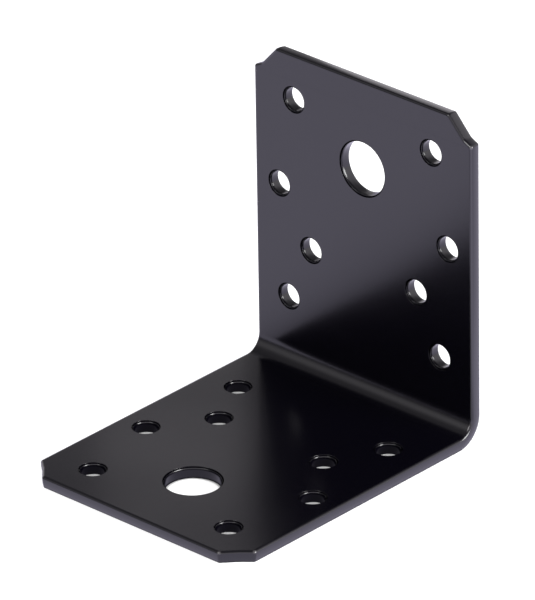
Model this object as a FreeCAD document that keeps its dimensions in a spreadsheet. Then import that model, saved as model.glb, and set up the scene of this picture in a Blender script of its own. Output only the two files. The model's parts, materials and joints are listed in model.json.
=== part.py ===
import FreeCAD, Part
import math
import os
import Sketcher

# Angle bracket folded from one strip of sheet steel: an upright leg and a base leg of equal length,
# joined by one rounded right-angle bend. Both legs carry the same punched pattern, four rows of two
# nail holes with a bolt hole on the centre line, and their free corners are cut off at 45 degrees.
# Millimetres, +Z up. X runs along the bend, the base leg lies on Z = 0 and the upright stands at +Y.

document = FreeCAD.newDocument("AngleBracket")

# Every driving size: name, value in millimetres, what it is.
driving_sizes = (
    ("StripWidth", 56.5, "width of both legs, along the bend"),
    ("UprightHeight", 70.0, "outer face of the base leg to the top edge"),
    ("BaseDepth", 70.0, "outer face of the upright to the front edge"),
    ("SheetThickness", 2.5, "thickness of the sheet"),
    ("InnerBendRadius", 3.5, "radius of the inside of the bend"),
    ("UprightCornerCut", 6.2, "length taken off each side of a free corner of the upright"),
    ("BaseCornerCut", 5.0, "length taken off each side of a free corner of the base leg"),
    ("CornerSoftness", 0.2, "rounding of the corners seen face on, beyond the rolled edge"),
    ("EdgeRoll", 0.6, "rounding that shearing leaves on the punch side of the outline"),
    ("RimBreak", 0.4, "slope that stands for the same rounding at a hole"),
    ("CoatedEdge", 0.2, "softening of the other edges under the coating"),
    ("NailHoleDiameter", 4.9, "nail holes"),
    ("BoltHoleDiameter", 11.1, "bolt holes"),
    ("UprightEndToFourthRow", 9.7, "top edge of the upright to its fourth row of nail holes"),
    ("BaseEndToFourthRow", 8.7, "front edge of the base leg to its fourth row of nail holes"),
    ("FourthRowToBolt", 9.25, "fourth nail row to the bolt hole, towards the bend"),
    ("BoltToThirdRow", 10.2, "bolt hole to the third nail row"),
    ("ThirdToSecondRow", 12.1, "third to second nail row"),
    ("SecondToFirstRow", 12.1, "second nail row to the first, beside the bend"),
    ("FourthRowMargin", 10.4, "side of the strip to the nail holes of the fourth row"),
    ("ThirdRowMargin", 6.3, "side of the strip to the nail holes of the third row"),
    ("SecondRowMargin", 14.5, "side of the strip to the nail holes of the second row"),
    ("FirstRowMargin", 8.45, "side of the strip to the nail holes of the first row"),
)

sheet = document.addObject("Spreadsheet::Sheet", "Sizes")
for line, (name, value, meaning) in enumerate(driving_sizes, start=1):
    sheet.set("A%d" % line, name)
    sheet.set("B%d" % line, str(value))
    sheet.set("C%d" % line, meaning)
    sheet.setAlias("B%d" % line, name)
document.recompute()

# What lies on a leg from its free end towards the bend, and the steps between them.
rows_from_end = ("Fourth", "Bolt", "Third", "Second", "First")
steps_from_end = ("FourthRowToBolt", "BoltToThirdRow", "ThirdToSecondRow", "SecondToFirstRow")

# The two skins of the sheet: how deep each lies under the outer faces, and its radius in the bend.
inner_skin = ("Sizes.SheetThickness", "Sizes.InnerBendRadius")
outer_skin = ("0", "Sizes.InnerBendRadius + Sizes.SheetThickness")

# Slack allowed when a length, or a share of a volume, is compared with its computed value.
length_slack = 1e-4
volume_slack = 1e-3

# How sketch constraints name a point of a line or circle, the origin and the two sketch axes.
point_of = {"start": 1, "end": 2, "centre": 3}
axis_of = {"level": -1, "upright": -2}
sketch_origin = (-1, 1)
sketch_normal = FreeCAD.Vector(0, 0, 1)
bend_axis = FreeCAD.Vector(1, 0, 0)

# The property that holds the size of each kind of edge feature.
size_property = {"Chamfer": "Size", "Fillet": "Radius"}


def value_of(expression):
    """Value of an expression on the driving sizes, in millimetres."""
    return float(sheet.evalExpression(expression))


def new_sketch(body, name, plane_role):
    """Sketch lying on one of the body's own origin planes."""
    planes = {feature.Role: feature for feature in body.Origin.OriginFeatures}
    sketch = body.newObject("Sketcher::SketchObject", name)
    sketch.AttachmentSupport = [(planes[plane_role], "")]
    sketch.MapMode = "FlatFace"
    document.recompute()
    return sketch


def relate(sketch, kind, *ends):
    """Add one geometric constraint, such as Horizontal or Tangent."""
    sketch.addConstraint(Sketcher.Constraint(kind, *ends))


def dimension(sketch, label, kind, ends, expression):
    """Add one dimension, label it and drive it from the table of sizes."""
    index = sketch.addConstraint(Sketcher.Constraint(kind, *ends, value_of(expression)))
    sketch.renameConstraint(index, label)
    sketch.setExpression("Constraints." + label, expression)


def draw_folded_section(body):
    """Section across the bend: two legs of sheet joined by concentric arcs."""
    sketch = new_sketch(body, "FoldedSection", "YZ_Plane")
    depth = value_of("Sizes.BaseDepth")
    height = value_of("Sizes.UprightHeight")
    thickness = value_of("Sizes.SheetThickness")
    inner_radius = value_of("Sizes.InnerBendRadius")
    outer_radius = inner_radius + thickness
    bend_centre = FreeCAD.Vector(-outer_radius, outer_radius, 0)

    def straight(first, last):
        line = Part.LineSegment(FreeCAD.Vector(*first, 0), FreeCAD.Vector(*last, 0))
        return sketch.addGeometry(line, False)

    def quarter(radius):
        circle = Part.Circle(bend_centre, sketch_normal, radius)
        return sketch.addGeometry(Part.ArcOfCircle(circle, -math.pi / 2, 0.0), False)

    underside = straight((-depth, 0), (-outer_radius, 0))
    outer_bend = quarter(outer_radius)
    back = straight((0, outer_radius), (0, height))
    top_edge = straight((0, height), (-thickness, height))
    inner_upright = straight((-thickness, height), (-thickness, outer_radius))
    inner_bend = quarter(inner_radius)
    inner_base = straight((-outer_radius, thickness), (-depth, thickness))
    front_edge = straight((-depth, thickness), (-depth, 0))

    for line in (inner_base, top_edge):
        relate(sketch, "Horizontal", line)
    for line in (inner_upright, front_edge):
        relate(sketch, "Vertical", line)
    start, end, centre = point_of["start"], point_of["end"], point_of["centre"]
    relate(sketch, "Coincident", back, end, top_edge, start)
    relate(sketch, "Coincident", top_edge, end, inner_upright, start)
    relate(sketch, "Coincident", inner_base, end, front_edge, start)
    relate(sketch, "Coincident", front_edge, end, underside, start)
    relate(sketch, "Tangent", underside, end, outer_bend, start)
    relate(sketch, "Tangent", outer_bend, end, back, start)
    relate(sketch, "Tangent", inner_upright, end, inner_bend, end)
    relate(sketch, "Tangent", inner_bend, start, inner_base, start)
    relate(sketch, "Coincident", inner_bend, centre, outer_bend, centre)
    for line_end in (start, end):
        relate(sketch, "PointOnObject", underside, line_end, axis_of["level"])
        relate(sketch, "PointOnObject", back, line_end, axis_of["upright"])

    dimension(sketch, "Depth", "DistanceX", (underside, start, *sketch_origin), "Sizes.BaseDepth")
    dimension(sketch, "Height", "DistanceY", (*sketch_origin, back, end), "Sizes.UprightHeight")
    dimension(sketch, "Thickness", "DistanceX", (top_edge, end, top_edge, start),
              "Sizes.SheetThickness")
    dimension(sketch, "InnerRadius", "Radius", (inner_bend,), "Sizes.InnerBendRadius")
    return sketch


def draw_hole_pattern(body, name, plane_role, leg_length, end_margin, up_the_sketch):
    """Holes of one leg, which lies up or down the sketch from the outer corner."""
    sketch = new_sketch(body, name, plane_role)
    side = 1 if up_the_sketch else -1
    centre = point_of["centre"]

    def circle(across, place, diameter):
        middle = FreeCAD.Vector(across, side * value_of(place), 0)
        return sketch.addGeometry(Part.Circle(middle, sketch_normal, diameter / 2), False)

    def place_along_leg(hole, label, place):
        hole_centre = (hole, centre)
        ends = sketch_origin + hole_centre if up_the_sketch else hole_centre + sketch_origin
        dimension(sketch, label, "DistanceY", ends, place)

    def draw_bolt_hole(place):
        bolt = circle(0, place, value_of("Sizes.BoltHoleDiameter"))
        relate(sketch, "PointOnObject", bolt, centre, axis_of["upright"])
        place_along_leg(bolt, "BoltRow", place)
        dimension(sketch, "BoltHole", "Diameter", (bolt,), "Sizes.BoltHoleDiameter")

    def draw_nail_row(label, place):
        spacing = "Sizes.StripWidth - 2 * Sizes." + label + "RowMargin"
        diameter = value_of("Sizes.NailHoleDiameter")
        pair = [circle(half * value_of(spacing), place, diameter) for half in (-0.5, 0.5)]
        ends = (pair[0], centre, pair[1], centre)
        relate(sketch, "Symmetric", *ends, axis_of["upright"])
        dimension(sketch, label + "Spacing", "DistanceX", ends, spacing)
        place_along_leg(pair[1], label + "Row", place)
        return pair

    nails = []
    steps = (end_margin,) + steps_from_end
    for count, row in enumerate(rows_from_end, start=1):
        place = " - ".join("Sizes." + size for size in (leg_length,) + steps[:count])
        if row == "Bolt":
            draw_bolt_hole(place)
        else:
            nails += draw_nail_row(row, place)
    for nail in nails[1:]:
        relate(sketch, "Equal", nails[0], nail)
    dimension(sketch, "NailHole", "Diameter", nails[:1], "Sizes.NailHoleDiameter")
    return sketch


def fold_strip(body):
    """Pad the folded section to both sides of the middle, to the strip's width."""
    strip = body.newObject("PartDesign::Pad", "FoldedStrip")
    strip.Profile = draw_folded_section(body)
    strip.SideType = "Symmetric"
    strip.setExpression("Length", "Sizes.StripWidth")
    document.recompute()


def punch_holes(body, sketch, name):
    """Cut a leg's hole pattern through the sheet and check how much metal it takes out."""
    before = body.Shape.Volume
    holes = body.newObject("PartDesign::Pocket", name)
    holes.Profile = sketch
    holes.Type = "ThroughAll"
    holes.SideType = "Symmetric"
    document.recompute()
    nail_count = 2 * (len(rows_from_end) - 1)
    round_area = math.pi / 4 * (nail_count * value_of("Sizes.NailHoleDiameter") ** 2
                                + value_of("Sizes.BoltHoleDiameter") ** 2)
    expected = round_area * value_of("Sizes.SheetThickness")
    removed = before - body.Shape.Volume
    if abs(removed - expected) > volume_slack * expected:
        raise RuntimeError("%s removed %.2f, not %.2f" % (name, removed, expected))


def edge_names(body, wanted):
    """Names of the body's edges that a test picks out."""
    return ["Edge%d" % (index + 1) for index, edge in enumerate(body.Shape.Edges) if wanted(edge)]


def is_corner_edge(edge, on_upright):
    """True for an edge through the sheet at a free corner of the upright, or of the base leg."""
    bounds = edge.BoundBox
    at_side = abs(abs(bounds.Center.x) - value_of("Sizes.StripWidth / 2")) < length_slack
    at_top = abs(bounds.ZMin - value_of("Sizes.UprightHeight")) < length_slack
    at_front = abs(bounds.YMax + value_of("Sizes.BaseDepth")) < length_slack
    return at_side and bounds.XLength < length_slack and (at_top if on_upright else at_front)


def is_cut_end(edge):
    """True for an edge through the sheet at either end of a cut corner."""
    bounds = edge.BoundBox
    beyond_side = abs(bounds.Center.x) - value_of("Sizes.StripWidth / 2")
    beyond_top = bounds.Center.z - value_of("Sizes.UprightHeight")
    beyond_front = -bounds.Center.y - value_of("Sizes.BaseDepth")
    off_upright_cut = abs(beyond_side + beyond_top + value_of("Sizes.UprightCornerCut"))
    off_base_cut = abs(beyond_side + beyond_front + value_of("Sizes.BaseCornerCut"))
    on_upright = bounds.XLength + bounds.ZLength + off_upright_cut < length_slack
    on_base = bounds.XLength + bounds.YLength + off_base_cut < length_slack
    return on_upright or on_base


def lies_on_skin(face, skin):
    """True for a face of the skin: one of its two flats, or the bend between them."""
    depth, bend_radius = (value_of(expression) for expression in skin)
    if face.Surface.TypeId == "Part::GeomCylinder":
        off_axis = face.Surface.Axis.cross(bend_axis).Length
        return off_axis + abs(face.Surface.Radius - bend_radius) < length_slack
    bounds = face.BoundBox
    on_base = abs(bounds.ZMin - depth) + bounds.ZLength < length_slack
    on_upright = abs(bounds.YMax + depth) + bounds.YLength < length_slack
    return on_base or on_upright


def skin_ends(body, skin, at_holes):
    """Names of the edges where a skin of the sheet ends, at its holes or at its outline."""
    wires = [wire for face in body.Shape.Faces if lies_on_skin(face, skin)
             for wire in face.Wires]
    uses = [edge.hashCode() for wire in wires for edge in wire.Edges]
    rims = [wire.Edges[0].hashCode() for wire in wires if len(wire.Edges) == 1]

    def ends_here(edge):
        ends_skin = uses.count(edge.hashCode()) == 1
        return ends_skin and (edge.hashCode() in rims) == at_holes

    return edge_names(body, ends_here)


def soften(body, name, kind, edges, expression):
    """Chamfer or fillet the named edges of the body by a driven size."""
    base = body.Tip
    feature = body.newObject("PartDesign::" + kind, name)
    feature.Base = (base, edges)
    feature.setExpression(size_property[kind], expression)
    document.recompute()


def build_angle_bracket():
    """Fold, punch, cut and soften the one piece of sheet."""
    body = document.addObject("PartDesign::Body", "AngleBracket")
    body.Label = "angle_bracket"
    fold_strip(body)
    upright_holes = draw_hole_pattern(body, "UprightHoles", "XZ_Plane",
                                      "UprightHeight", "UprightEndToFourthRow", True)
    punch_holes(body, upright_holes, "PunchedUpright")
    base_holes = draw_hole_pattern(body, "BaseHoles", "XY_Plane",
                                   "BaseDepth", "BaseEndToFourthRow", False)
    punch_holes(body, base_holes, "PunchedBase")

    upright_corners = edge_names(body, lambda edge: is_corner_edge(edge, on_upright=True))
    soften(body, "CutUpright", "Chamfer", upright_corners, "Sizes.UprightCornerCut")
    base_corners = edge_names(body, lambda edge: is_corner_edge(edge, on_upright=False))
    soften(body, "CutBase", "Chamfer", base_corners, "Sizes.BaseCornerCut")
    cut_ends = edge_names(body, is_cut_end)
    soften(body, "SoftCornerEnds", "Fillet", cut_ends, "Sizes.EdgeRoll + Sizes.CornerSoftness")
    inner_rims = skin_ends(body, inner_skin, at_holes=True)
    soften(body, "InnerRims", "Chamfer", inner_rims, "Sizes.RimBreak")
    inner_outline = skin_ends(body, inner_skin, at_holes=False)
    soften(body, "RolledOutline", "Fillet", inner_outline, "Sizes.EdgeRoll")
    outer_rims = skin_ends(body, outer_skin, at_holes=True)
    soften(body, "OuterRims", "Chamfer", outer_rims, "Sizes.CoatedEdge")
    outer_outline = skin_ends(body, outer_skin, at_holes=False)
    soften(body, "CoatedOutline", "Fillet", outer_outline, "Sizes.CoatedEdge")

    body.setExpression("Placement.Base.y", "Sizes.BaseDepth / 2")
    document.recompute()
    return body


def check_document():
    """Stop if any object of the document failed."""
    for item in document.Objects:
        if "Invalid" in item.State or "Error" in item.State:
            raise RuntimeError(item.Name + " failed: " + ", ".join(item.State))


def export_body(body):
    """Write one checked solid under its own name."""
    shape = body.Shape
    if shape.isNull() or not shape.isValid() or len(shape.Solids) != 1:
        raise RuntimeError(body.Label + " is not one valid solid")
    shape.exportStep("parts/" + body.Label + ".step")
    print("%s: %.0f cubic mm" % (body.Label, shape.Volume))


os.makedirs("parts", exist_ok=True)
angle_bracket = build_angle_bracket()
check_document()
export_body(angle_bracket)
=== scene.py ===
import bmesh
import bpy
import json
import math
from mathutils import Matrix, Vector


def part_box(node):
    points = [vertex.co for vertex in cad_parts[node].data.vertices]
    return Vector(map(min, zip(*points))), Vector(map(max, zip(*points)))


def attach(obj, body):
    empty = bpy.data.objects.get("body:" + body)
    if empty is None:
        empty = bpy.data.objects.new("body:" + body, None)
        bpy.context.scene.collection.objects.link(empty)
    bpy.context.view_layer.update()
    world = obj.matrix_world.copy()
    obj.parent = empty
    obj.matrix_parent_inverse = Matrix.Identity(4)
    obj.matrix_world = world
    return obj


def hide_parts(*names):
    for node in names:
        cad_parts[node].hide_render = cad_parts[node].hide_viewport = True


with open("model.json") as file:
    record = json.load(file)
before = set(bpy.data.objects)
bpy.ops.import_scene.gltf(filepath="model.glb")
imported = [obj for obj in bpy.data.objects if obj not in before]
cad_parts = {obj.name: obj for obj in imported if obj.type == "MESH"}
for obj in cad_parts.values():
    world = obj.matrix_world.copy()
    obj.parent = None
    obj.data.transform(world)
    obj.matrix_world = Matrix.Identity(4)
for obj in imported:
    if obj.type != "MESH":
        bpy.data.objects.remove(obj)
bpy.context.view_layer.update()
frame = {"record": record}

mm = 0.001
touching = 0.001 * mm  # places nearer together than this are one place
print("frame loaded")


# Camera, set where the photograph was taken from. The aim is a point of the object, and the
# offsets say how far that point lands from the middle of the picture.
photoCamera = {
    "azimuth": 42.795,
    "elevation": 27.189,
    "roll": -0.878,
    "aim": (0.0, 5.0, 30.0),
    "distance": 1741.3,
    "pictureHeight": 600,
    "focalPixels": 9009,
    "offsetRight": 0.59,
    "offsetUp": -14.47,
    "sensorWidth": 36,
    "clip": (0.2, 50),
}


def placeCamera(view):
    azimuth, elevation, roll = (math.radians(view[angle])
                                for angle in ("azimuth", "elevation", "roll"))
    back = Vector((math.sin(azimuth) * math.cos(elevation),
                   -math.cos(azimuth) * math.cos(elevation),
                   math.sin(elevation)))
    level = Vector((math.cos(azimuth), math.sin(azimuth), 0))
    upright = back.cross(level)
    right = math.cos(roll) * level + math.sin(roll) * upright
    up = back.cross(right)
    perPixel = view["distance"] / view["focalPixels"]
    place = Vector(view["aim"]) + view["distance"] * back
    place -= perPixel * (view["offsetRight"] * right + view["offsetUp"] * up)

    lens = bpy.data.cameras.new("photoCamera")
    lens.sensor_width = view["sensorWidth"]
    lens.lens = view["sensorWidth"] * view["focalPixels"] / view["pictureHeight"]
    lens.clip_start, lens.clip_end = view["clip"]
    camera = bpy.data.objects.new("photoCamera", lens)
    bpy.context.scene.collection.objects.link(camera)
    turn = Matrix((right, up, back)).transposed().to_4x4()
    camera.matrix_world = Matrix.Translation(place * mm) @ turn
    bpy.context.scene.camera = camera


placeCamera(photoCamera)
print("camera placed")


# Small helpers for modelling by operators.
def deselectAll():
    bpy.ops.object.select_all(action="DESELECT")


def makeActive(piece):
    deselectAll()
    piece.select_set(True)
    bpy.context.view_layer.objects.active = piece


def editPiece(piece, mode):
    makeActive(piece)
    bpy.ops.object.mode_set(mode="EDIT")
    bpy.ops.mesh.select_mode(type=mode)


def leaveEdit():
    bpy.ops.object.mode_set(mode="OBJECT")


def selectFaces(piece, wanted):
    bpy.ops.mesh.select_all(action="DESELECT")
    mesh = bmesh.from_edit_mesh(piece.data)
    for face in mesh.faces:
        face.select_set(wanted(face))
    mesh.select_flush_mode()
    bmesh.update_edit_mesh(piece.data)


# Faces of flat pieces that look up (1) or down (-1).
def facing(direction):
    return lambda face: direction * face.normal.z > 0.5


def selectVertices(piece, wanted):
    bpy.ops.mesh.select_all(action="DESELECT")
    mesh = bmesh.from_edit_mesh(piece.data)
    for vertex in mesh.verts:
        vertex.select_set(wanted(vertex.co))
    mesh.select_flush_mode()
    bmesh.update_edit_mesh(piece.data)


# Moves a chosen pair of vertices, which mirror each other in x, to the places (x, y) and (-x, y).
def movePair(piece, wanted, x, y):
    selectVertices(piece, wanted)
    mesh = bmesh.from_edit_mesh(piece.data)
    now = next(vertex.co.copy() for vertex in mesh.verts if vertex.select)
    bpy.ops.transform.resize(value=(x / abs(now.x), 1, 1), center_override=(0, 0, 0))
    bpy.ops.transform.translate(value=(0, y - now.y, 0))


def applyModifier(piece, name, kind, settings):
    makeActive(piece)
    modifier = piece.modifiers.new(name, kind)
    for setting, value in settings.items():
        setattr(modifier, setting, value)
    bpy.ops.object.modifier_apply(modifier=name)


# The sheet, in millimetres. Width, legs and holes come from the frame, the rest from here.
sheet = {
    "thickness": 2.5,
    "innerBend": 3.5,
    "bendSteps": 24,
    "uprightCut": {"alongEdge": 5.85, "alongSide": 5.25, "kink": (1.95, 4.3)},
    "baseCut": {"alongEdge": 5.05, "alongSide": 4.9, "kink": (2.3, 2.95)},
    "cornerRadius": 0.8,
    "cornerTurn": 45,  # by how much the outline turns at most of its corners
    "cornerSteps": 4,
    "rolledEdge": 0.62,  # rounding on the punch side, which becomes the inside of the angle
    "rolledDepth": 0.5,
    "rolledSteps": 8,
    "cleanShear": 0.1,  # upright band of a cut edge, below the rounding
    "tornSlope": 0.24,  # how far the torn band of a cut edge falls back
    "coatedEdge": 0.15,  # rounding that the coating gives the outer skin's edge
    "coatedSteps": 5,
    "tornSteps": 8,
}

# The punches, in millimetres.
punch = {
    "sides": 72,
    "rolledRim": 0.42,  # how far the rounded rim reaches out over the inner skin
    "rolledDepth": 0.8,  # how deep the same rounding runs into the hole
    "rolledSteps": 9,
    "cleanShear": 0.7,
    "tornFlare": 0.05,  # how much wider the hole breaks out on the outer skin
    "coatedRim": 0.12,
    "coatedSteps": 4,
    "beyondSkin": 0.6,
    "boltRadius": 4.0,  # holes of a larger radius than this take a bolt
}

low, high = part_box("angle_bracket")
outerBend = (sheet["innerBend"] + sheet["thickness"]) * mm
middleBend = (sheet["innerBend"] + sheet["thickness"] / 2) * mm
bendStart = high.y - outerBend
bendLength = middleBend * math.pi / 2
uprightStart = bendStart + bendLength
flatFront = low.y
flatBack = uprightStart + high.z - outerBend


# Steps inwards and along the thickness for a quarter round that leaves a wall and meets a skin.
def quarterSteps(across, depth, count):
    steps = []
    for step in range(count):
        start, end = (math.pi / 2 * part / count for part in (step, step + 1))
        steps.append((across * (math.cos(start) - math.cos(end)),
                      depth * (math.sin(end) - math.sin(start))))
    return steps


# Steps for the torn band, whose slope grows from nothing towards the outer skin.
def tornSteps(depth, slope, count):
    steps = []
    for step in range(count):
        start, end = step / count, (step + 1) / count
        steps.append((slope * (end ** 2 - start ** 2), depth / count))
    return steps


def insetSteps(steps):
    for inwards, along in steps:
        bpy.ops.mesh.inset(thickness=inwards * mm, depth=along * mm, use_even_offset=True)


# Cuts both corners at one end of the outline. The cut bends a little inwards at its kink.
def cutCorners(blank, cut, end, inwards):
    reach = 2 * cut["alongEdge"] * mm
    selectVertices(blank, lambda spot: abs(spot.y - end) < touching)
    bpy.ops.mesh.bevel(affect="VERTICES", offset=cut["alongEdge"] * mm, segments=2)
    fromSide, fromEnd = (distance * mm for distance in cut["kink"])
    side = high.x - touching
    movePair(blank, lambda spot: abs(spot.x) < side and touching < abs(spot.y - end) < reach,
             high.x - fromSide, end + inwards * fromEnd)
    movePair(blank, lambda spot: abs(spot.x) > side and abs(spot.y - end) < reach,
             high.x, end + inwards * cut["alongSide"] * mm)


# The blank is one flat outline, first thickened, then stepped in towards each skin.
def makeBlank():
    tornDepth = (sheet["thickness"] - sheet["rolledDepth"] - sheet["cleanShear"]
                 - sheet["coatedEdge"])
    level = (tornDepth + sheet["coatedEdge"]) * mm
    deselectAll()
    bpy.ops.mesh.primitive_plane_add(size=1, location=(0, (flatFront + flatBack) / 2, level))
    blank = bpy.context.object
    blank.name = "foldedBracket"
    blank.scale = (high.x - low.x, flatBack - flatFront, 1)
    bpy.ops.object.transform_apply(location=True, rotation=False, scale=True)

    editPiece(blank, "VERT")
    cutCorners(blank, sheet["uprightCut"], flatBack, -1)
    cutCorners(blank, sheet["baseCut"], flatFront, 1)
    bpy.ops.mesh.select_all(action="SELECT")
    tangent = sheet["cornerRadius"] * math.tan(math.radians(sheet["cornerTurn"] / 2))
    bpy.ops.mesh.bevel(affect="VERTICES", offset=tangent * mm, segments=sheet["cornerSteps"])

    bpy.ops.mesh.select_mode(type="FACE")
    bpy.ops.mesh.select_all(action="SELECT")
    bpy.ops.mesh.extrude_region_move(
        TRANSFORM_OT_translate={"value": (0, 0, sheet["cleanShear"] * mm)})
    bpy.ops.mesh.select_all(action="SELECT")
    bpy.ops.mesh.normals_make_consistent(inside=False)
    selectFaces(blank, facing(1))
    insetSteps(quarterSteps(sheet["rolledEdge"], sheet["rolledDepth"], sheet["rolledSteps"]))
    selectFaces(blank, facing(-1))
    insetSteps(tornSteps(tornDepth, sheet["tornSlope"], sheet["tornSteps"]))
    insetSteps(quarterSteps(sheet["coatedEdge"], sheet["coatedEdge"], sheet["coatedSteps"]))

    for step in range(sheet["bendSteps"] + 1):
        bpy.ops.mesh.select_all(action="SELECT")
        place = bendStart + bendLength * step / sheet["bendSteps"]
        bpy.ops.mesh.bisect(plane_co=(0, place, 0), plane_no=(0, 1, 0))
    leaveEdit()
    return blank


# A punch is a cylinder whose ends flare as the rims of its hole do.
def makePunch(radius):
    tornDepth = sheet["thickness"] - punch["rolledDepth"] - punch["cleanShear"] - punch["coatedRim"]
    level = tornDepth + punch["coatedRim"]
    deselectAll()
    bpy.ops.mesh.primitive_cylinder_add(
        vertices=punch["sides"], radius=radius * mm, depth=punch["cleanShear"] * mm,
        location=(0, 0, (level + punch["cleanShear"] / 2) * mm))
    tool = bpy.context.object
    tool.name = "punch"
    bpy.ops.object.transform_apply(location=True, rotation=False, scale=False)
    editPiece(tool, "FACE")

    def flare(direction, steps):
        reach = radius
        for outwards, along in steps:
            bpy.ops.mesh.extrude_region_move(
                TRANSFORM_OT_translate={"value": (0, 0, direction * along * mm)})
            growth = (reach + outwards) / reach
            bpy.ops.transform.resize(value=(growth, growth, 1), center_override=(0, 0, 0))
            reach += outwards

    beyond = [(0, punch["beyondSkin"])]
    selectFaces(tool, facing(1))
    flare(1, quarterSteps(punch["rolledRim"], punch["rolledDepth"], punch["rolledSteps"]) + beyond)
    selectFaces(tool, facing(-1))
    torn = tornSteps(tornDepth, punch["tornFlare"], sheet["tornSteps"])
    coated = quarterSteps(punch["coatedRim"], punch["coatedRim"], punch["coatedSteps"])
    flare(-1, torn + coated + beyond)
    leaveEdit()
    return tool


# Where each hole lies on the flat blank, read from the frame's mounts.
def holesOnBlank():
    holes = []
    for mount in frame["record"]["mounts"]:
        if mount["kind"] not in ("bore", "bolt_pattern"):
            continue
        x, y, z = mount["pos_m"]
        onBase = abs(mount["axis"][2]) > 0.5
        along = y if onBase else uprightStart + z - outerBend
        sizes = mount["dims"]
        if mount["kind"] == "bore":
            holes.append((x, along, sizes["r_mm"]))
        else:
            half = sizes["spacing_x_mm"] / 2 * mm
            holes += [(x + side * half, along, sizes["hole_r_mm"]) for side in (-1, 1)]
    return holes


def punchHoles(blank):
    holes = holesOnBlank()
    tools = {radius: makePunch(radius) for radius in sorted({hole[2] for hole in holes})}
    copies = []
    for x, along, radius in holes:
        tool = bpy.data.objects.new("punchCopy", tools[radius].data.copy())
        tool.data.transform(Matrix.Translation((x, along, 0)))
        bpy.context.scene.collection.objects.link(tool)
        copies.append(tool)
    for tool in tools.values():
        bpy.data.objects.remove(tool)
    makeActive(copies[0])
    for tool in copies:
        tool.select_set(True)
    bpy.ops.object.join()
    allPunches = bpy.context.object
    applyModifier(blank, "holes", "BOOLEAN",
                  {"operation": "DIFFERENCE", "solver": "EXACT", "object": allPunches})
    bpy.data.objects.remove(allPunches)
    editPiece(blank, "VERT")
    bpy.ops.mesh.select_all(action="SELECT")
    bpy.ops.mesh.remove_doubles(threshold=touching)
    bpy.ops.mesh.dissolve_degenerate(threshold=touching)
    leaveEdit()


# The fold turns everything past bendStart up and over the bend, as a press brake does.
def foldBlank(blank):
    foldAxis = bpy.data.objects.new("foldAxis", None)
    foldAxis.location = (0, bendStart, sheet["thickness"] / 2 * mm)
    foldAxis.rotation_euler = (math.radians(90), 0, math.radians(180))
    bpy.context.scene.collection.objects.link(foldAxis)
    bpy.context.view_layer.update()
    length = flatBack - flatFront
    limits = ((bendStart - flatFront) / length, (uprightStart - flatFront) / length)
    applyModifier(blank, "fold", "SIMPLE_DEFORM",
                  {"deform_method": "BEND", "deform_axis": "X", "origin": foldAxis,
                   "angle": math.radians(90), "limits": limits})
    bpy.data.objects.remove(foldAxis)


# Each corner's shading follows its faces by area. Large faces count so much that they stay flat.
def smoothShading(piece):
    mesh = piece.data
    blends = [Vector() for vertex in mesh.vertices]
    for face in mesh.polygons:
        area = face.area / mm ** 2
        share = area * max(area, 1) * face.normal
        for index in face.vertices:
            blends[index] += share
    mesh.normals_split_custom_set_from_vertices([blend.normalized() for blend in blends])


def makeBracket():
    bracket = makeBlank()
    print("blank cut")
    punchHoles(bracket)
    print("holes punched")
    foldBlank(bracket)
    makeActive(bracket)
    bpy.ops.object.shade_smooth()
    smoothShading(bracket)
    print("sheet folded")
    return bracket


# Shader maths is written as expressions on signals, and any other node comes from desk.add.
class Signal:
    def __init__(self, desk, socket):
        self.desk = desk
        self.socket = socket

    def __add__(self, other):
        return self.desk.math("ADD", self, other)

    def __radd__(self, other):
        return self.desk.math("ADD", other, self)

    def __sub__(self, other):
        return self.desk.math("SUBTRACT", self, other)

    def __rsub__(self, other):
        return self.desk.math("SUBTRACT", other, self)

    def __mul__(self, other):
        return self.desk.math("MULTIPLY", self, other)

    def __rmul__(self, other):
        return self.desk.math("MULTIPLY", other, self)

    def __truediv__(self, other):
        return self.desk.math("DIVIDE", self, other)

    def __rtruediv__(self, other):
        return self.desk.math("DIVIDE", other, self)

    def __pow__(self, other):
        return self.desk.math("POWER", self, other)

    def __rpow__(self, other):
        return self.desk.math("POWER", other, self)


class NodeDesk:
    def __init__(self, owner):
        owner.use_nodes = True
        self.tree = owner.node_tree
        self.tree.nodes.clear()

    def add(self, kind, settings=None, sockets=None, output=0):
        node = self.tree.nodes.new(kind)
        for name, value in (settings or {}).items():
            setattr(node, name, value)
        for name, value in (sockets or {}).items():
            if isinstance(value, Signal):
                self.tree.links.new(value.socket, node.inputs[name])
            else:
                node.inputs[name].default_value = value
        if not node.outputs:
            return node
        return Signal(self, node.outputs[output])

    def math(self, operation, first, second=0.0):
        return self.add("ShaderNodeMath", {"operation": operation}, {0: first, 1: second})

    def larger(self, first, second):
        return self.math("MAXIMUM", first, second)

    def fade(self, value, start, end):
        return self.add("ShaderNodeMapRange", {"interpolation_type": "SMOOTHSTEP"},
                        {"Value": value, "From Min": start, "From Max": end})

    def axes(self, vector, names):
        return (self.add("ShaderNodeSeparateXYZ", {}, {"Vector": vector}, output=name)
                for name in names)

    def distance(self, place, point):
        return self.add("ShaderNodeVectorMath", {"operation": "DISTANCE"},
                        {0: place, 1: point}, output="Value")

    def noise(self, place, scale, detail, roughness):
        return self.add("ShaderNodeTexNoise", {}, {
            "Vector": place, "Scale": scale, "Detail": detail, "Roughness": roughness})

    def bump(self, height, distance, sockets=None):
        return self.add("ShaderNodeBump", {}, {
            "Strength": 1.0, "Distance": distance, "Height": height, **(sockets or {})})


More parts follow.
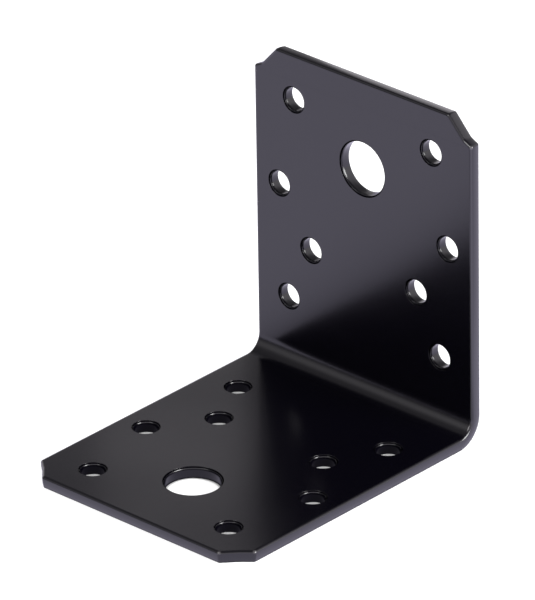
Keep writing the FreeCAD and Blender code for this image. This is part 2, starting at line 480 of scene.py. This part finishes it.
# Semi-gloss black powder coat.
blackCoat = {
    "colour": (0.0007, 0.0005, 0.0019, 1),
    "roughness": 0.185,
    "roughnessSpread": 0.03,
    "bendRoughness": 0.07,  # how much duller the stretched coat of the bend is
    "bendMargin": 0.5,
    "peel": (900, 2.0, 0.5),  # scale, detail and roughness of the noise
    "peelHeight": 0.004,
    "cloud": (120, 3.0, 0.6),
    "swell": (26, 0.0, 0.5),
    "swellHeight": 0.35,  # how far the sheet is from flat, over several centimetres
    # Worn coat at sharp corners, also painted lighter as a highlight that stands in for their
    # glints.
    "thinCoat": (0.05, 0.047, 0.05, 1),
    "thinReach": (0.25, 0.7),  # from the corner, where it starts to fade and where it ends
    "thinRagged": 0.3,
}


# The sharp corners where the coat has worn thin, also painted lighter there as a highlight for
# their glints: both ends of the near cut, and the upright's cut.
def wornAndGlintCorners():
    skin = sheet["thickness"] * mm
    baseCut, uprightCut = sheet["baseCut"], sheet["uprightCut"]
    return ((high.x - baseCut["alongEdge"] * mm, low.y, skin),
            (high.x, low.y + baseCut["alongSide"] * mm, skin),
            (high.x, high.y - skin, high.z - uprightCut["alongSide"] * mm))


def makeBlackCoat():
    material = bpy.data.materials.new("blackPowderCoat")
    desk = NodeDesk(material)
    place = desk.add("ShaderNodeTexCoord", output="Object")
    peel, cloud, swell = (desk.noise(place, *blackCoat[name])
                          for name in ("peel", "cloud", "swell"))
    wavy = desk.bump(swell, blackCoat["swellHeight"] * mm)
    relief = desk.bump(peel, blackCoat["peelHeight"] * mm, {"Normal": wavy})
    along, height = desk.axes(place, "YZ")
    margin = blackCoat["bendMargin"] * mm
    inBend = (desk.fade(along, bendStart - margin, bendStart + margin)
              * desk.fade(height, outerBend + margin, outerBend - margin))
    cloudy = cloud - 0.5
    near, far = (distance * mm for distance in blackCoat["thinReach"])
    # Painted highlight and worn coat: a lighter colour that fades out from the sharp corners.
    wornAndGlint = 0.0
    for corner in wornAndGlintCorners():
        reach = desk.distance(place, corner) + blackCoat["thinRagged"] * mm * cloudy
        wornAndGlint = desk.larger(wornAndGlint, 1 - desk.fade(reach, near, far))
    colour = desk.add("ShaderNodeMix", {"data_type": "RGBA"}, {
        "Factor": wornAndGlint, 6: blackCoat["colour"], 7: blackCoat["thinCoat"]}, output=2)
    surface = desk.add("ShaderNodeBsdfPrincipled", {}, {
        "Base Color": colour,
        "Roughness": (blackCoat["roughness"] + blackCoat["bendRoughness"] * inBend
                      + blackCoat["roughnessSpread"] * cloudy),
        "Normal": relief,
    })
    desk.add("ShaderNodeOutputMaterial", {}, {"Surface": surface})
    return material


bracket = makeBracket()
bracket.data.materials.clear()
bracket.data.materials.append(makeBlackCoat())
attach(bracket, "root")
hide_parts("angle_bracket")
print("bracket finished")


# Studio: a white tent over a white floor. Mirrored in the coat, its left wall is bright only low
# down, its front is greyer and the ceiling is dark.
studio = {
    "floorSize": 8.0,
    "floorGap": 0.00002,  # keeps the floor clear of the underside
    "floorColour": (0.56, 0.56, 0.56, 1),
    "floorGlow": 0.62,  # added for the camera, so that the floor is plain white
    "floorMirrored": 1.4,
    "rightGlow": 0.75,  # how much brighter the mirrored floor is out to the right
    "rightGlowAcross": (0.032, 0.06),  # between which places it grows from nothing to full
    "rightGlowAlong": (0.1, 0.0),
    "floorTint": (1.0, 0.95, 1.2, 1),
    "seenEdge": (-1.0, -0.6),  # where the seen floor brightens, in mm out from the footprint
    "mirroredEdge": (-0.3, 0.0),
    "underBend": 1.5,  # where the floor starts to brighten under the bend, in mm
    "shadeReach": 0.0055,  # how fast the mirrored floor brightens away from the object
    "shadePower": 0.8,
    "tentLight": 0.75,
    "tentTint": (1.0, 0.96, 1.02, 1),
    "ceiling": 0.28,
    "backWall": (1.42, 0.535, 0.28),  # brightness, then the heights where it ends and is full
    "frontWall": (0.74, 0.72, 0.58),
    "frontFoot": 0.1,  # what is left of the front wall's light at its foot
    "frontRise": (0.04, 0.4),  # the heights between which it grows to full
    "rightWall": (1.42, 0.85, 0.55),
    "backTurn": (-0.4, 0.1),  # between which directions the front wall gives way to the back
    "rightTurn": (-0.35, 0.3),
    "secondBounce": 0.15,  # what is left of light that reaches the eye by two mirrorings
    "keyDirection": (0.897, 0.216, 0.385),
    "lampDistance": 1.2,
    "keySize": 0.75,
    "keyPower": 28.0,
    "fillDirection": (-0.14, -0.787, 0.602),
    "fillSize": 0.6,
    "fillPower": 7.0,
    "throughBolt": {"seen": 1.0, "mirrored": 0.5, "rim": (-0.6, 0.0)},
    "throughNail": {"seen": 0.3, "mirrored": 0.1, "rim": (0.2, 0.6)},
    # Dark boards seen only in the coat's reflections: painted shade, unseen by the camera and
    # casting no shadow.
    "boards": {
        "greyBoard": {"start": (-0.1366, 0.0371), "end": (-0.1057, 0.0656), "darkness": 0.45},
        "blackBoard": {"start": (-0.0822, 0.0873), "end": (-0.0654, 0.1029), "darkness": 0.65},
    },
    "boardHeight": 0.13,
}


# Full strength for light mirrored once, little for light mirrored more often.
def bounceLoss(desk, depthOnce):
    depth = desk.add("ShaderNodeLightPath", output="Ray Depth")
    return 1 - (1 - studio["secondBounce"]) * desk.math("GREATER_THAN", depth, depthOnce + 0.5)


# The floor under the base leg is dark but for what its holes let through, and the mirrored floor
# brightens slowly away from the leg's shaded left side.
def floorLight(desk):
    place = desk.add("ShaderNodeTexCoord", output="Object")
    across, along = desk.axes(place, "XY")
    sideways, endwards = (desk.math("ABSOLUTE", axis) for axis in (across, along))
    cutCorner = high.x - low.y - sheet["baseCut"]["alongEdge"] * mm
    beyond = desk.larger(desk.larger(sideways - high.x, endwards + low.y),
                         (sideways + endwards - cutCorner) * math.sqrt(0.5))
    seenThrough, mirroredThrough = 0.0, 0.0
    for x, y, radius in holesOnBlank():
        if y > bendStart:
            continue
        through = studio["throughBolt" if radius > punch["boltRadius"] else "throughNail"]
        offHole = desk.distance(place, (x, y, 0))
        inside = 1 - desk.fade(offHole, *((radius + reach) * mm for reach in through["rim"]))
        seenThrough = desk.larger(seenThrough, through["seen"] * inside)
        mirroredThrough = desk.larger(mirroredThrough, through["mirrored"] * inside)
    seenLight, mirroredLight = (
        desk.fade(beyond, *(outwards * mm for outwards in studio[edge]))
        for edge in ("seenEdge", "mirroredEdge"))
    underBend = desk.fade(along, bendStart + studio["underBend"] * mm, high.y)
    seenLight = desk.larger(seenLight, underBend)
    leftwards = desk.larger(low.x - across, 0.0) / studio["shadeReach"]
    shade = desk.math("EXPONENT", 0 - leftwards ** studio["shadePower"])
    onLeft = desk.math("LESS_THAN", across, low.x)
    onRight = (desk.fade(across, *studio["rightGlowAcross"])
               * desk.fade(along, *studio["rightGlowAlong"]))
    mirroredLight = mirroredLight * (1 - onLeft * shade) * (1 + studio["rightGlow"] * onRight)
    return desk.larger(seenLight, seenThrough), desk.larger(mirroredLight, mirroredThrough)


def makeFloor():
    deselectAll()
    bpy.ops.mesh.primitive_plane_add(size=studio["floorSize"], location=(0, 0, -studio["floorGap"]))
    floor = bpy.context.object
    floor.name = "floor"
    material = bpy.data.materials.new("whiteFloor")
    desk = NodeDesk(material)
    seen = desk.add("ShaderNodeLightPath", output="Is Camera Ray")
    mirrored = desk.add("ShaderNodeLightPath", output="Is Glossy Ray")
    seenLight, mirroredLight = floorLight(desk)
    paint = desk.add("ShaderNodeBsdfDiffuse", {}, {"Color": studio["floorColour"]})
    glow = desk.add("ShaderNodeEmission", {}, {
        "Strength": studio["floorGlow"] * seen * seenLight})
    seenFloor = desk.add("ShaderNodeAddShader", {}, {0: paint, 1: glow})
    mirroredFloor = desk.add("ShaderNodeEmission", {}, {
        "Color": studio["floorTint"],
        "Strength": studio["floorMirrored"] * mirroredLight * bounceLoss(desk, 1)})
    both = desk.add("ShaderNodeMixShader", {}, {0: mirrored, 1: seenFloor, 2: mirroredFloor})
    desk.add("ShaderNodeOutputMaterial", {}, {"Surface": both})
    floor.data.materials.append(material)


# The ray that meets the world is counted one deeper than the one that meets the floor.
def makeTent():
    world = bpy.data.worlds.new("tent")
    bpy.context.scene.world = world
    desk = NodeDesk(world)
    seen = desk.add("ShaderNodeLightPath", output="Is Camera Ray")
    mirrored = desk.add("ShaderNodeLightPath", output="Is Glossy Ray")
    direction = desk.add("ShaderNodeTexCoord", output="Generated")
    across, along, height = desk.axes(direction, "XYZ")
    ceiling = studio["ceiling"]
    back, front, right = (ceiling + (brightness - ceiling) * desk.fade(height, end, full)
                          for brightness, end, full in
                          (studio["backWall"], studio["frontWall"], studio["rightWall"]))
    foot = studio["frontFoot"]
    front = front * (foot + (1 - foot) * desk.fade(height, *studio["frontRise"]))
    left = front + (back - front) * desk.fade(along, *studio["backTurn"])
    reflected = left + (right - left) * desk.fade(across, *studio["rightTurn"])
    unseen = mirrored * reflected * bounceLoss(desk, 2) + (1 - mirrored) * studio["tentLight"]
    tint = desk.add("ShaderNodeMix", {"data_type": "RGBA"},
                    {"Factor": mirrored, 6: (1, 1, 1, 1), 7: studio["tentTint"]}, output=2)
    tent = desk.add("ShaderNodeBackground", {}, {
        "Color": tint, "Strength": seen + (1 - seen) * unseen})
    desk.add("ShaderNodeOutputWorld", {}, {"Surface": tent})


# Boards standing behind the bracket, met only by mirrored light: painted shade in the coat's
# reflections, unseen by the camera and casting no shadow. One dims the base leg's left corner, the
# other darkens what the base leg shows beside and through the upright.
def makeReflectionShades():
    for name, board in studio["boards"].items():
        material = bpy.data.materials.new(name)
        desk = NodeDesk(material)
        clear = desk.add("ShaderNodeBsdfTransparent")
        black = desk.add("ShaderNodeBsdfDiffuse", {}, {"Color": (0, 0, 0, 1)})
        both = desk.add("ShaderNodeMixShader", {}, {0: board["darkness"], 1: clear, 2: black})
        desk.add("ShaderNodeOutputMaterial", {}, {"Surface": both})
        start, end = Vector(board["start"]), Vector(board["end"])
        middle, run = (start + end) / 2, end - start
        deselectAll()
        bpy.ops.mesh.primitive_plane_add(
            size=1, location=(middle.x, middle.y, studio["boardHeight"] / 2),
            rotation=(math.radians(90), 0, math.atan2(run.y, run.x)))
        panel = bpy.context.object
        panel.name = name
        panel.scale = (run.length, studio["boardHeight"], 1)
        panel.visible_camera = False
        panel.visible_diffuse = False
        panel.visible_shadow = False
        panel.data.materials.append(material)


def makeLamp(name, direction, size, power):
    lamp = bpy.data.lights.new(name, "AREA")
    lamp.shape = "DISK"
    lamp.size = size
    lamp.energy = power
    lampObject = bpy.data.objects.new(name, lamp)
    direction = Vector(direction).normalized()
    lampObject.location = direction * studio["lampDistance"]
    lampObject.rotation_euler = direction.to_track_quat("Z", "Y").to_euler()
    bpy.context.scene.collection.objects.link(lampObject)


makeFloor()
makeTent()
makeReflectionShades()
makeLamp("keyLamp", studio["keyDirection"], studio["keySize"], studio["keyPower"])
makeLamp("fillLamp", studio["fillDirection"], studio["fillSize"], studio["fillPower"])
bpy.context.scene.view_settings.view_transform = "Standard"
print("studio lit")
